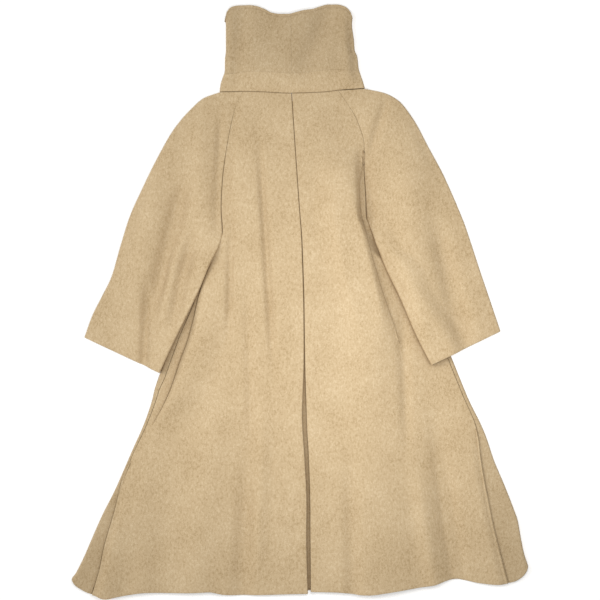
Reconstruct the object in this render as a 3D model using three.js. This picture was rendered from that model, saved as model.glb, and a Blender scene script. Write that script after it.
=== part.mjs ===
// A swing coat of heavy wool with raglan sleeves and a tall standing collar, laid flat on its front.
// Millimetres. +X is the wearer's right, +Y runs up to the collar and +Z is up from the surface it lies on.
// Every piece is a wall of cloth: its outer face comes from rings worked out from the sizes below, and
// its inner face lies one cloth thickness behind. Tables give distances out from the centre line, and
// heights up the coat from the neck seam at the centre back.
import * as THREE from "three";

// Driving sizes
const CLOTH = 2.5; // thickness of one layer of the wool
const SEAM_GAP = 0.3; // between pieces that are sewn together
const BACK_LENGTH = 1000; // neck seam to hem down the centre back
const MIDDLE_BELOW_NECK = 414; // from the neck seam down to the middle of the coat's whole length
const EDGE_HEIGHT = 8; // front and back together at a folded side edge
const TURN = EDGE_HEIGHT / 2; // radius of that folded edge
const CROWN = 5; // how much higher the back lies over the pleat and the front's lap
const CROWN_FROM = 0.3; // shares of the way from the pleat to the side edge
const CROWN_TO = 0.92; // between which that height runs out
const STILL_FROM = 0.86; // shares of that way between which the soft folds run out
const STILL_TO = 0.98;
const FOLD_FLANK = 58; // width of the high side of a deep fold
const LIP_WIDTH = 60; // width over which the back rises to its lower side seam
const LAP = 40; // how far each front crosses the centre line
const LAP_CLEAR = LAP + 2; // where the front on top starts to come down off the other one
const LAP_DOWN = LAP + 34; // and where it has reached the surface
const FRONT_NECK_DIP = 15; // how far the front neckline drops at the centre
const FRONT_SHORTER = 5; // how far the front hem stays behind the back hem
const HEM_ZONE = 150; // height above the hem in which rows bend to its wave
const NECK_ZONE = 90; // depth below the neck seam in which rows bend to its curve
const SEAM_ROLL = 36; // degrees that a raglan edge rolls down into its seam
const ROLL_LENGTH = 45; // length over which that roll deepens to the underarm
const LEAST_ROLL = 3; // width of the back's edge that is divided as its roll
const SLEEVE_LIFT = 8.8; // how high a sleeve rides where it lies on the side of the coat
const LIFT_LENGTH = 66; // length below the underarm over which it climbs there
const LIFT_RAMP = 45; // width over which it comes back down to the surface
const PAST_EDGE = 3; // beyond the body's edge, where it starts to come down
const PUFF_SHAPE = 0.8; // below 1 a sleeve's ring is fuller towards its edges
const SLEEVE_STILL = 26; // width along a sleeve's edges over which the soft folds run out
const UNDERARM_SEAM = 2; // degrees from the seam's middle to each side of the sleeve's ring
const LEAST_STEP = 1; // between neighbouring columns under a sleeve
const HALVINGS = 24; // steps of the search for a place on a sleeve's ring
const COLLAR_CROWN = 3; // how much higher the collar's middle lies than its sides
const COLLAR_SHAPE = 3; // the higher, the flatter the collar's middle
const COLLAR_FRONT_GAP = 8; // between the collar's two front ends
const SEAM_DIP = 1.6; // how deep a seam across the collar sinks in
const DIP_WIDTH = 6; // and how far it does so to each side
const PLEAT_TOP = -190; // where the pleat's underlay begins
const UNDERLAY_TOP_HALF = 14; // half its width there
const UNDERLAY_HEM_HALF = 80; // and at the hem
const UNDERLAY_LEVEL = 8.6; // height of its upper face, over both layers of the front's lap

// How many steps each stretch of a piece is divided into
const count = {
  lowerRows: 18, // body rows below those shared with a sleeve
  toFold: 5, // columns of the back from the pleat to the deep fold
  toSide: 4, // and from there to the side edge
  sideRoll: 2,
  strip: 3, // columns of the front beside the back's side seam
  turn: 5, // round a folded edge
  ramp: 3, // down off a layer that lies below
  underlayRows: 16,
  underlay: 4,
  sleeve: 8, // columns over a sleeve's top
  seamEdge: 3, // round a sleeve's seam edge
  beyondLap: 4, // columns of the collar under its sides
  standRows: 3,
  standTop: 7, // columns over the stand's top, to each side
  collarRows: 9,
  collarTop: 9,
};
const CROWDING = 0.85; // below 1 the columns to the fold stand closer beside it
const TURN_SHARE = 0.75; // the most of the front's upper side that its folded edge takes

const CAMEL = { color: 0xc9ae86, roughness: 0.95, metalness: 0 };

// The line where the two folds of the centre back pleat meet, and how far they stand apart
const pleatLine = [
  { y: 0, x: -1, gap: 0.3 },
  { y: -120, x: 5, gap: 0.3 },
  { y: -240, x: 11.5, gap: 0.3 },
  { y: -300, x: 15, gap: 0.8 },
  { y: -351, x: 16, gap: 1.2 },
  { y: -421, x: 17, gap: 1.2 },
  { y: -492, x: 16.8, gap: 0.8 },
  { y: -600, x: 17.5, gap: 0.8 },
  { y: -742, x: 19.3, gap: 1 },
  { y: -821, x: 18.9, gap: 2.5 },
  { y: -880, x: 15.2, gap: 6.5 },
  { y: -910, x: 15, gap: 5.6 },
  { y: -940, x: 15.4, gap: 3 },
  { y: -970, x: 16.7, gap: 1.8 },
  { y: -1000, x: 18.2, gap: 0.8 },
];

// The side outline below the underarm with the inset from it to the side seam, then the line of the
// deep fold in the back, with its rise and the run in which it drops again
const rightOutline = [
  { y: -345, edge: 194, inset: 8 },
  { y: -407, edge: 232, inset: 8 },
  { y: -444, edge: 256, inset: 8 },
  { y: -480, edge: 280, inset: 8 },
  { y: -535, edge: 310, inset: 8 },
  { y: -580, edge: 327.5, inset: 8 },
  { y: -629, edge: 346.6, inset: 8 },
  { y: -678, edge: 369.5, inset: 11 },
  { y: -702, edge: 379, inset: 17 },
  { y: -750, edge: 394, inset: 27 },
  { y: -798, edge: 413, inset: 39 },
  { y: -847, edge: 431, inset: 48.5 },
  { y: -871, edge: 438.5, inset: 52 },
  { y: -918, edge: 444.5, inset: 48.5 },
  { y: -960, edge: 450, inset: 45 },
  { y: -1000, edge: 457, inset: 43 },
];
const rightFold = [
  { y: 0, x: 60, rise: 0, run: 8 },
  { y: -30, x: 84, rise: 0, run: 5 },
  { y: -62, x: 112, rise: 0, run: 3 },
  { y: -108, x: 134, rise: 2, run: 2.2 },
  { y: -158, x: 138, rise: 6, run: 2.2 },
  { y: -197, x: 132, rise: 9, run: 2.2 },
  { y: -230, x: 133, rise: 9, run: 2.2 },
  { y: -255, x: 136, rise: 9.5, run: 2.2 },
  { y: -281, x: 142, rise: 9.5, run: 2.2 },
  { y: -326, x: 152, rise: 9.5, run: 2.2 },
  { y: -368, x: 164, rise: 9.5, run: 2.2 },
  { y: -410, x: 178, rise: 8, run: 2.5 },
  { y: -447, x: 192, rise: 5.5, run: 5 },
  { y: -479, x: 206, rise: 2.5, run: 12 },
  { y: -538, x: 212, rise: 0, run: 24 },
  { y: -663, x: 236, rise: 0, run: 28 },
  { y: -732, x: 262, rise: 0, run: 28 },
  { y: -825, x: 288, rise: 0, run: 28 },
  { y: -895, x: 314, rise: 0, run: 26 },
  { y: -1000, x: 332, rise: 0, run: 22 },
];
const leftOutline = [
  { y: -374, edge: 190, inset: 7 },
  { y: -414, edge: 208, inset: 8 },
  { y: -490, edge: 246, inset: 11 },
  { y: -530, edge: 263, inset: 13 },
  { y: -571, edge: 277.7, inset: 13 },
  { y: -595, edge: 286, inset: 10 },
  { y: -619, edge: 292, inset: 8 },
  { y: -667, edge: 309, inset: 6 },
  { y: -715, edge: 331, inset: 5 },
  { y: -762, edge: 352, inset: 4 },
  { y: -796, edge: 367.5, inset: 10.5 },
  { y: -850, edge: 395.5, inset: 24.5 },
  { y: -904, edge: 419.5, inset: 31.5 },
  { y: -952, edge: 438, inset: 39 },
  { y: -1000, edge: 455.5, inset: 42.5 },
];
const leftFold = [
  { y: 0, x: 64, rise: 0, run: 8 },
  { y: -42, x: 84, rise: 0, run: 8 },
  { y: -87, x: 98, rise: 0, run: 8 },
  { y: -133, x: 108, rise: 0, run: 8 },
  { y: -214, x: 120, rise: 0, run: 6 },
  { y: -281, x: 128, rise: 0, run: 4 },
  { y: -326, x: 142, rise: 0, run: 3 },
  { y: -345, x: 155, rise: 1, run: 2.4 },
  { y: -371, x: 172, rise: 2.5, run: 2.2 },
  { y: -411, x: 191, rise: 5, run: 2.2 },
  { y: -480, x: 214, rise: 7.5, run: 2.2 },
  { y: -523, x: 231, rise: 7.5, run: 2.2 },
  { y: -585, x: 252, rise: 6.5, run: 3 },
  { y: -634, x: 273, rise: 5, run: 5 },
  { y: -678, x: 292, rise: 2.5, run: 12 },
  { y: -727, x: 305, rise: 0, run: 16 },
  { y: -770, x: 314, rise: 0, run: 20 },
  { y: -828, x: 328, rise: 0, run: 22 },
  { y: -880, x: 338, rise: 0, run: 22 },
  { y: -930, x: 346, rise: 0, run: 22 },
  { y: -1000, x: 354, rise: 0, run: 22 },
];
// How far the back stands above the front's strip along the lower side seams
const leftLip = [
  { y: -730, rise: 0 },
  { y: -800, rise: 3 },
  { y: -900, rise: 5 },
  { y: -1000, rise: 6 },
];
const rightLip = [
  { y: -660, rise: 0 },
  { y: -780, rise: 1.4 },
  { y: -1000, rise: 2.2 },
];

// The hem's wave and the neck seam's curve: height up the coat at each distance from the centre line
const rightHem = [
  { x: 0, y: -1003 },
  { x: 25, y: -1005.5 },
  { x: 73, y: -1006 },
  { x: 121, y: -1011 },
  { x: 137, y: -1011 },
  { x: 169, y: -1008 },
  { x: 217, y: -1002.5 },
  { x: 265, y: -995.5 },
  { x: 297, y: -988 },
  { x: 313, y: -986.5 },
  { x: 329, y: -989 },
  { x: 361, y: -995 },
  { x: 393, y: -997.5 },
  { x: 425, y: -994 },
  { x: 441, y: -986.5 },
  { x: 450, y: -978 },
  { x: 457, y: -966 },
];
const leftHem = [
  { x: 0, y: -1009 },
  { x: 71, y: -1010 },
  { x: 119, y: -1011 },
  { x: 151, y: -1008.5 },
  { x: 183, y: -1002 },
  { x: 263, y: -1003 },
  { x: 311, y: -1002 },
  { x: 359, y: -1009 },
  { x: 386, y: -1012.5 },
  { x: 407, y: -1006.5 },
  { x: 423, y: -1002 },
  { x: 438, y: -994 },
  { x: 448, y: -987 },
  { x: 455, y: -977 },
];
const neckSeam = [
  { x: -149, y: 6.3 },
  { x: -106, y: 5.7 },
  { x: -65, y: 4 },
  { x: -2, y: 0 },
  { x: 57, y: 1.1 },
  { x: 108, y: 6.3 },
  { x: 151, y: 9.2 },
];
const standSeam = [
  { x: -139, y: 42 },
  { x: -85, y: 45.3 },
  { x: -45, y: 42.7 },
  { x: -2, y: 40 },
  { x: 37, y: 42.4 },
  { x: 78, y: 45.8 },
  { x: 139, y: 43.9 },
];
const collarTop = [
  { x: -135.5, y: 150 },
  { x: -131, y: 172 },
  { x: -120, y: 182.5 },
  { x: -104, y: 185 },
  { x: -87, y: 185 },
  { x: -70, y: 182.3 },
  { x: -54, y: 176 },
  { x: -38, y: 167.5 },
  { x: -21, y: 165 },
  { x: -5, y: 164.8 },
  { x: 11, y: 168.5 },
  { x: 28, y: 172.5 },
  { x: 44, y: 174.5 },
  { x: 61, y: 180.3 },
  { x: 77, y: 184.2 },
  { x: 94, y: 184 },
  { x: 110, y: 179.5 },
  { x: 120, y: 171 },
  { x: 127.5, y: 154 },
];
const collarSides = [
  { y: 0, left: 149, right: 151 },
  { y: 22, left: 146, right: 145.5 },
  { y: 36, left: 141.5, right: 141 },
  { y: 50, left: 137, right: 137 },
  { y: 75, left: 136.4, right: 134.5 },
  { y: 88, left: 134.2, right: 129.5 },
  { y: 110, left: 134, right: 128.3 },
  { y: 136, left: 133.6, right: 124.8 },
  { y: 154, left: 135.5, right: 126.5 },
  { y: 190, left: 135.5, right: 128 },
];

// One row for each ring of a sleeve, from the neck seam to the cuff: its inner and outer edge. The
// inner edge is the raglan seam down to the underarm row, and the body shares it and the next rows
// down to LIFT_LENGTH, where the sleeve has climbed over it. puff: how much the middle stands up.
const rightSleeve = [
  { inX: 93, inY: 0, outX: 148.5, outY: 8, puff: 1 },
  { inX: 113, inY: -29, outX: 188, outY: -1, puff: 2 },
  { inX: 131, inY: -58, outX: 216, outY: -16.6, puff: 3 },
  { inX: 145, inY: -108, outX: 247, outY: -57, puff: 4 },
  { inX: 144, inY: -158, outX: 276.5, outY: -115, puff: 5 },
  { inX: 146, inY: -209, outX: 303, outY: -167, puff: 5 },
  { inX: 147, inY: -255, outX: 322, outY: -211, puff: 5, underarm: true },
  { inX: 158, inY: -292, outX: 335.5, outY: -245, puff: 5 },
  { inX: 168, inY: -321, outX: 346, outY: -273, puff: 5 },
  { inX: 182, inY: -359.5, outX: 357, outY: -308, puff: 4.5 },
  { inX: 209, inY: -418.5, outX: 375, outY: -368, puff: 4 },
  { inX: 240, inY: -494, outX: 395, outY: -432, puff: 3.5 },
  { inX: 270, inY: -556, outX: 413, outY: -490, puff: 3 },
];
const leftSleeve = [
  { inX: 100, inY: 0, outX: 148, outY: 5.6, puff: 1 },
  { inX: 116, inY: -31, outX: 180, outY: -5.5, puff: 2 },
  { inX: 127, inY: -68, outX: 209, outY: -30, puff: 3 },
  { inX: 137, inY: -120, outX: 241, outY: -67, puff: 4 },
  { inX: 145, inY: -178, outX: 278, outY: -130, puff: 4.5 },
  { inX: 148, inY: -233, outX: 308, outY: -190, puff: 5 },
  { inX: 146, inY: -281, outX: 334, outY: -247, puff: 5, underarm: true },
  { inX: 171.5, inY: -346, outX: 354, outY: -309, puff: 5 },
  { inX: 194, inY: -400, outX: 372, outY: -369, puff: 4.5 },
  { inX: 218, inY: -449, outX: 391, outY: -407, puff: 4 },
  { inX: 247, inY: -506, outX: 411, outY: -446, puff: 3.5 },
  { inX: 277, inY: -571, outX: 427, outY: -489, puff: 3 },
];

// Soft folds of the upper cloth: a ridge or, with a negative rise, a trough along a straight line
const bodyFolds = [
  { x0: 205, y0: -563, x1: 240, y1: -694, rise: -2.5, half: 26 },
  { x0: 262, y0: -739, x1: 328, y1: -1005, rise: -3, half: 24 },
  { x0: 205, y0: -723, x1: 235, y1: -1004, rise: 5, half: 42 },
  { x0: 330, y0: -805, x1: 372, y1: -996, rise: 4, half: 26 },
  { x0: 60, y0: -700, x1: 50, y1: -1000, rise: 2.5, half: 28 },
  { x0: 150, y0: -780, x1: 150, y1: -1000, rise: 4, half: 34 },
  { x0: 100, y0: -150, x1: 110, y1: -440, rise: 3, half: 40 },
  { x0: -110, y0: -158, x1: -118, y1: -418, rise: 3.5, half: 30 },
  { x0: -75, y0: -250, x1: -42, y1: -560, rise: -2, half: 22 },
  { x0: -120, y0: -478, x1: -190, y1: -977, rise: 5, half: 50 },
  { x0: -131, y0: -720, x1: -73, y1: -900, rise: -2, half: 22 },
  { x0: -318, y0: -795, x1: -372, y1: -994, rise: 5, half: 34 },
];
const sleeveFolds = [
  { x0: -212, y0: -107, x1: -234, y1: -206, rise: -3, half: 16 },
  { x0: -234, y0: -206, x1: -277, y1: -341, rise: -6, half: 17 },
  { x0: -277, y0: -341, x1: -312, y1: -515, rise: -4, half: 15 },
  { x0: -207, y0: -311, x1: -265, y1: -483, rise: -3.5, half: 13 },
  { x0: -225, y0: -258, x1: -276, y1: -436, rise: 3, half: 15 },
  { x0: -264, y0: -196, x1: -330, y1: -425, rise: 4, half: 20 },
  { x0: -190, y0: -117, x1: -190, y1: -257, rise: 3, half: 24 },
  { x0: 150, y0: -112, x1: 200, y1: -39, rise: -2.5, half: 12 },
  { x0: 214, y0: -193, x1: 262, y1: -434, rise: 3.5, half: 34 },
];
const collarFolds = [
  { x0: 66, y0: 160, x1: 66, y1: 100, rise: -2.5, half: 18 },
  { x0: -42, y0: 160, x1: -42, y1: 115, rise: -1.5, half: 14 },
  { x0: -92, y0: 180, x1: -88, y1: 110, rise: 4, half: 26 },
  { x0: 100, y0: 182, x1: 98, y1: 110, rise: 4, half: 20 },
  { x0: 18, y0: 165, x1: 12, y1: 90, rise: 2.5, half: 26 },
];

const mix = (a, b, t) => a + (b - a) * t;
const smooth = (from, to, x) => THREE.MathUtils.smoothstep((x - from) / (to - from), 0, 1);
const steps = (count) => Array.from({ length: count + 1 }, (_, i) => i / count);

// The value column of a table as a smooth function of its key column, with no overshoot
function curve(table, key, value) {
  const rows = [...table].sort((a, b) => a[key] - b[key]);
  const xs = rows.map((row) => row[key]);
  const ys = rows.map((row) => row[value]);
  const slopes = xs.slice(1).map((x, i) => (ys[i + 1] - ys[i]) / (x - xs[i]));
  const tangents = xs.map((_, i) => {
    const before = slopes[Math.max(i - 1, 0)];
    const after = slopes[Math.min(i, slopes.length - 1)];
    return before * after <= 0 ? 0 : (2 * before * after) / (before + after);
  });
  return (x) => {
    if (x <= xs[0]) return ys[0];
    if (x >= xs.at(-1)) return ys.at(-1);
    const i = xs.findIndex((_, k) => x < xs[k + 1]);
    const width = xs[i + 1] - xs[i];
    const t = (x - xs[i]) / width;
    const rise = ys[i + 1] - ys[i];
    const bend = (1 - t) * tangents[i] * width - t * tangents[i + 1] * width - (1 - 2 * t) * rise;
    return ys[i] + t * rise + t * (1 - t) * bend;
  };
}

// The height that the soft folds of a table add at a point
function softFolds(table, x, y) {
  let height = 0;
  for (const { x0, y0, x1, y1, rise, half } of table) {
    const dx = x1 - x0;
    const dy = y1 - y0;
    const along = THREE.MathUtils.clamp(((x - x0) * dx + (y - y0) * dy) / (dx * dx + dy * dy), 0, 1);
    const away = Math.hypot(x - x0 - along * dx, y - y0 - along * dy);
    height += rise * Math.exp(-((away / half) ** 2));
  }
  return height;
}

// A piece of cloth as one closed wall from a grid of points on its outer face. hand is 1 where rows
// run down the coat and columns to the right, seen from outside, and -1 where columns run left.
function clothPiece(name, grid, hand, wall = CLOTH) {
  const rows = grid.length;
  const columns = grid[0].length;
  const faceNormal = (i, j) => {
    const across = new THREE.Vector3().subVectors(grid[i + 1][j + 1], grid[i][j]);
    const other = new THREE.Vector3().subVectors(grid[i][j + 1], grid[i + 1][j]);
    return across.cross(other).multiplyScalar(hand).normalize();
  };
  const normals = [];
  const positions = [];
  const inside = [];
  for (let i = 0; i < rows; i++) {
    for (let j = 0; j < columns; j++) {
      const normal = new THREE.Vector3();
      for (const a of [i - 1, i]) {
        for (const b of [j - 1, j]) {
          if (a >= 0 && b >= 0 && a < rows - 1 && b < columns - 1) normal.add(faceNormal(a, b));
        }
      }
      normals.push(normal.normalize());
    }
  }
  // An edge of the grid carries on the curve that comes up to it, so walls stay apart at their seams
  const carryOn = (edge, next) => {
    const turned = normals[edge].clone().multiplyScalar(2 * normals[edge].dot(normals[next]));
    return turned.sub(normals[next]).normalize();
  };
  const sides = grid.map((_, i) => [
    carryOn(i * columns, i * columns + 1),
    carryOn((i + 1) * columns - 1, (i + 1) * columns - 2),
  ]);
  sides.forEach(([first, last], i) => {
    normals[i * columns] = first;
    normals[(i + 1) * columns - 1] = last;
  });
  grid.flat().forEach((point, at) => {
    positions.push(...point.toArray());
    inside.push(...point.clone().addScaledVector(normals[at], -wall).toArray());
  });
  const outer = (i, j) => i * columns + j;
  const inner = (i, j) => rows * columns + outer(i, j);
  const index = [];
  const quad = (a, b, c, d) => index.push(...(hand > 0 ? [a, b, c, a, c, d] : [a, c, b, a, d, c]));
  for (let i = 0; i + 1 < rows; i++) {
    for (let j = 0; j + 1 < columns; j++) {
      quad(outer(i, j), outer(i + 1, j), outer(i + 1, j + 1), outer(i, j + 1));
      quad(inner(i, j), inner(i, j + 1), inner(i + 1, j + 1), inner(i + 1, j));
    }
    const last = columns - 1;
    quad(outer(i, 0), inner(i, 0), inner(i + 1, 0), outer(i + 1, 0));
    quad(outer(i, last), outer(i + 1, last), inner(i + 1, last), inner(i, last));
  }
  for (let j = 0; j + 1 < columns; j++) {
    const last = rows - 1;
    quad(outer(0, j), outer(0, j + 1), inner(0, j + 1), inner(0, j));
    quad(outer(last, j), inner(last, j), inner(last, j + 1), outer(last, j + 1));
  }
  const geometry = new THREE.BufferGeometry();
  geometry.setAttribute("position", new THREE.Float32BufferAttribute([...positions, ...inside], 3));
  geometry.setIndex(index);
  geometry.computeVertexNormals();
  const mesh = new THREE.Mesh(geometry, new THREE.MeshStandardMaterial(CAMEL));
  mesh.name = name;
  return mesh;
}

const pleatX = curve(pleatLine, "y", "x");
const pleatGap = curve(pleatLine, "y", "gap");
const neckY = curve(neckSeam, "x", "y");

// Columns of a front under the coat, where it comes down off the other front's edge
const rampColumns = steps(count.ramp).map((t) => mix(LAP_DOWN, LAP_CLEAR, t));
const frontNeckDip = (out) => FRONT_NECK_DIP * (1 - smooth(LAP_CLEAR, LAP_DOWN, out));

// One side of the body. sign is 1 on the wearer's right and -1 on the left.
function bodySide(sign, { outline: lower, fold: folds, lip, hem, sleeve }) {
  const underarm = sleeve.find((row) => row.underarm).inY;
  const shared = sleeve.filter((row) => row.inY >= underarm - LIFT_LENGTH);
  const edges = [...shared.map((row) => ({ y: row.inY, edge: row.inX, inset: 0 })), ...lower];
  edges[shared.length - 1].inset = lower[0].inset;
  const edge = curve(edges, "y", "edge");
  const inset = curve(edges, "y", "inset");
  const fold = curve(folds, "y", "x");
  const rise = curve(folds, "y", "rise");
  const run = curve(folds, "y", "run");
  const lipRise = curve(lip, "y", "rise");
  const hemY = curve(hem, "x", "y");
  const centre = (y) => sign * pleatX(y);

  // How far round the folded edge the back's seam lies, in degrees, above the underarm
  const closed = 90 - THREE.MathUtils.radToDeg((1.5 * SEAM_GAP) / TURN);
  const roll = (y) => mix(closed, SEAM_ROLL, smooth(underarm, underarm + ROLL_LENGTH, y));
  const rollInset = (y) => TURN * (1 - Math.sin(THREE.MathUtils.degToRad(roll(y))));
  const outline = (y) => edge(y) - SEAM_GAP + (y > underarm ? rollInset(y) : 0);

  // Height of the upper face at distance x out from the centre line
  const top = (x, y) => {
    const share = (x - centre(y)) / (outline(y) - TURN - centre(y));
    const beyond = x - fold(y);
    const crown = CROWN * (1 - smooth(CROWN_FROM, CROWN_TO, share));
    const flank = 1 - smooth(0, FOLD_FLANK, -beyond);
    const drop = 1 - smooth(0, run(y), beyond);
    const seam = outline(y) - inset(y);
    const lipped = lipRise(y) * (1 - smooth(0, LIP_WIDTH, seam - x)) * (x < seam ? 1 : 0);
    const still = 1 - smooth(STILL_FROM, STILL_TO, share);
    const soft = still * softFolds(bodyFolds, sign * x, y);
    return EDGE_HEIGHT + crown + rise(y) * (beyond < 0 ? flank : drop) + lipped + soft;
  };
  // A point of the ring at height y: distance out, height above the surface and how far under it is
  const place = (x, y, z, under) => {
    const out = Math.abs(x);
    const toHem = smooth(-BACK_LENGTH + HEM_ZONE, -BACK_LENGTH, y);
    const toNeck = smooth(-NECK_ZONE, 0, y);
    const shift =
      toHem * (hemY(out) + BACK_LENGTH + FRONT_SHORTER * under) +
      toNeck * (neckY(sign * x) - 2 * SEAM_GAP - frontNeckDip(out) * under);
    return new THREE.Vector3(sign * x, y + shift, z);
  };
  // The upper face and the folded edge, walked out by length from the fold's foot
  const walk = (length, y) => {
    const foot = fold(y) + run(y);
    const flat = outline(y) - TURN - foot;
    if (length <= flat) return place(foot + length, y, top(foot + length, y), 0);
    const angle = Math.min((length - flat) / TURN, Math.PI);
    const x = outline(y) - TURN + TURN * Math.sin(angle);
    return place(x, y, TURN + TURN * Math.cos(angle), (1 - Math.cos(angle)) / 2);
  };
  const footToTurn = (y) => outline(y) - TURN - fold(y) - run(y);
  const seamLength = (y) => {
    if (y >= underarm) return footToTurn(y) + TURN * THREE.MathUtils.degToRad(roll(y));
    const within = Math.min(inset(y) / TURN, 1);
    const round = TURN * Math.asin(1 - within);
    return footToTurn(y) + round - Math.max(inset(y) - TURN, 0);
  };
  const stations = steps(sleeve.length * 2 - 2).map((t) => t * (sleeve.length - 1));
  const sleeveY = curve(sleeve.map((row, at) => ({ ...row, at })), "at", "inY");
  const upperRows = stations.map(sleeveY).filter((y) => y >= shared.at(-1).inY);
  const from = upperRows.at(-1);
  const lowerRows = steps(count.lowerRows).slice(1).map((t) => mix(from, -BACK_LENGTH, t));
  const rows = [...upperRows, ...lowerRows];
  const shape = { centre, edge, fold, run, top, place, walk, footToTurn, seamLength, outline, roll };
  return { sign, sleeve, underarm, stations, rows, ...shape };
}

// The back, from the pleat's fold out to the raglan and side seams
function backPiece(name, side) {
  const grid = side.rows.map((y) => {
    const start = side.centre(y) + pleatGap(y) / 2;
    const inner = steps(count.toFold).map((t) => mix(start, side.fold(y), t ** CROWDING));
    const seam = side.seamLength(y);
    const rolled = Math.max(seam - side.footToTurn(y), LEAST_ROLL);
    const outer = steps(count.toSide).map((t) => t * (seam - rolled));
    const edge = steps(count.sideRoll).slice(1).map((t) => seam - rolled + t * rolled);
    return [
      ...inner.map((x) => side.place(x, y, side.top(x, y), 0)),
      ...[...outer, ...edge].map((length) => side.walk(length, y)),
    ];
  });
  return clothPiece(name, grid, side.sign);
}

// The front, from the side seam round the folded edge and under to its lap. lies: what it lies on.
function frontPiece(name, side, lies) {
  const grid = side.rows.map((y) => {
    const turnEnd = side.footToTurn(y) + TURN * Math.PI;
    const start =
      y >= side.underarm
        ? turnEnd - TURN * THREE.MathUtils.degToRad(side.roll(y))
        : side.seamLength(y) + 2 * SEAM_GAP;
    const length = turnEnd - start;
    const turned = Math.min(TURN * Math.PI, TURN_SHARE * length);
    const strip = steps(count.strip).map((t) => start + t * (length - turned));
    const turn = steps(count.turn).slice(1).map((t) => turnEnd - turned + t * turned);
    const outer = side.outline(y) - TURN;
    const bottom = [mix(outer, LAP_DOWN, 0.5), ...rampColumns, 0, -LAP];
    return [
      ...[...strip, ...turn].map((at) => side.walk(at, y)),
      ...bottom.map((x) => side.place(x, y, lies(x), 1)),
    ];
  });
  return clothPiece(name, grid, side.sign);
}

// The strip behind the centre back pleat
function pleatUnderlay(name, right, left) {
  const grid = steps(count.underlayRows).map((t) => {
    const y = mix(PLEAT_TOP, -BACK_LENGTH + FRONT_SHORTER, t);
    const half = mix(UNDERLAY_TOP_HALF, UNDERLAY_HEM_HALF, t);
    return steps(count.underlay).map((s) => {
      const x = pleatX(y) + mix(-half, half, s);
      const side = x > 0 ? right : left;
      return side.place(side.sign * x, y, UNDERLAY_LEVEL, 0);
    });
  });
  return clothPiece(name, grid, 1);
}

// A sleeve: rings across it, closed by the underarm seam at the inner edge below the underarm
function sleevePiece(name, side) {
  const rows = side.sleeve.map((row, at) => ({ ...row, at }));
  const column = (value) => curve(rows, "at", value);
  const [inX, inY, outX, outY, puff] = ["inX", "inY", "outX", "outY", "puff"].map(column);
  const ring = (at) => {
    const y = inY(at);
    const above = y >= side.underarm;
    const roll = side.roll(y);
    const rollBack = TURN * (1 - Math.sin(THREE.MathUtils.degToRad(roll)));
    const seamPoint = above ? side.place(side.edge(y), y, 0, 0) : { x: side.sign * inX(at), y };
    const start = new THREE.Vector2(side.sign * seamPoint.x, seamPoint.y);
    const end = new THREE.Vector2(outX(at), outY(at));
    const direction = end.clone().sub(start).normalize();
    start.addScaledVector(direction, SEAM_GAP - rollBack);
    const width = start.distanceTo(end);
    const lift = SLEEVE_LIFT * smooth(side.underarm, side.underarm - LIFT_LENGTH, y);
    const where = (q) => start.clone().addScaledVector(direction, q);
    const past = (q) => where(q).x - side.outline(Math.min(where(q).y, side.underarm));
    const below = (q) => lift * (1 - smooth(PAST_EDGE, PAST_EDGE + LIFT_RAMP, past(q)));
    // The distance in from the outer edge's turn at which the ring is this far past the body's edge
    const reaching = (distance) => {
      let [low, high] = [TURN, width - TURN];
      for (let i = 0; i < HALVINGS; i++) {
        const middle = (low + high) / 2;
        if (past(middle) < distance) low = middle;
        else high = middle;
      }
      return THREE.MathUtils.clamp(low, TURN + LEAST_STEP, width - TURN - LEAST_STEP);
    };
    const over = (q) => {
      const p = where(q);
      const middle = Math.sin(Math.PI * THREE.MathUtils.clamp(q / width, 0, 1)) ** PUFF_SHAPE;
      const still = smooth(0, SLEEVE_STILL, q) * smooth(0, SLEEVE_STILL, width - q);
      const soft = still * softFolds(sleeveFolds, side.sign * p.x, p.y);
      return below(q) + EDGE_HEIGHT + puff(at) * middle + soft;
    };
    const point = (q, z) => {
      const p = where(q);
      return new THREE.Vector3(side.sign * p.x, p.y, z);
    };
    const turned = (centre, reach, degrees) => {
      const angle = THREE.MathUtils.degToRad(degrees);
      const low = below(centre);
      const radius = (over(centre) - low) / 2;
      return point(centre + reach * TURN * Math.cos(angle), low + radius + radius * Math.sin(angle));
    };
    const seam = above ? 90 - roll : UNDERARM_SEAM;
    const upperInner = steps(count.seamEdge).map((t) => turned(TURN, -1, mix(seam, 90, t)));
    const upper = steps(count.sleeve).slice(1).map((t) => {
      const q = mix(TURN, width - TURN, t);
      return point(q, over(q));
    });
    const outer = steps(count.turn).slice(1).map((t) => turned(width - TURN, 1, mix(90, -90, t)));
    const edgeClear = reaching(PAST_EDGE);
    const down = reaching(PAST_EDGE + LIFT_RAMP);
    const ramp = steps(count.ramp).map((t) => mix(down, Math.min(edgeClear, down - LEAST_STEP), t));
    const lower = [mix(width - TURN, down, 0.5), ...ramp, TURN].map((q) => point(q, below(q)));
    const lowerInner = steps(count.seamEdge).slice(1).map((t) => turned(TURN, -1, mix(-90, -seam, t)));
    return [...upperInner, ...upper, ...outer, ...lower, ...lowerInner];
  };
  return clothPiece(name, side.stations.map(ring), side.sign);
}

const leftReach = curve(collarSides, "y", "left");
const rightReach = curve(collarSides, "y", "right");
const standY = curve(standSeam, "x", "y");
const topY = curve(collarTop, "x", "y");

// Height of the flattened collar's upper face, which sinks in at the seams below and above the stand
function collarLevel(x, y, reach) {
  const share = Math.min(Math.abs(x) / (reach - TURN), 1);
  const still = 1 - smooth(STILL_FROM, STILL_TO, share);
  const sink = (seamY) => SEAM_DIP * Math.exp(-(((y - seamY) / DIP_WIDTH) ** 2));
  const crown = COLLAR_CROWN * (1 - share ** COLLAR_SHAPE);
  const soft = softFolds(collarFolds, x, y) - sink(neckY(x)) - sink(standY(x));
  return EDGE_HEIGHT + crown + still * soft;
}

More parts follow.
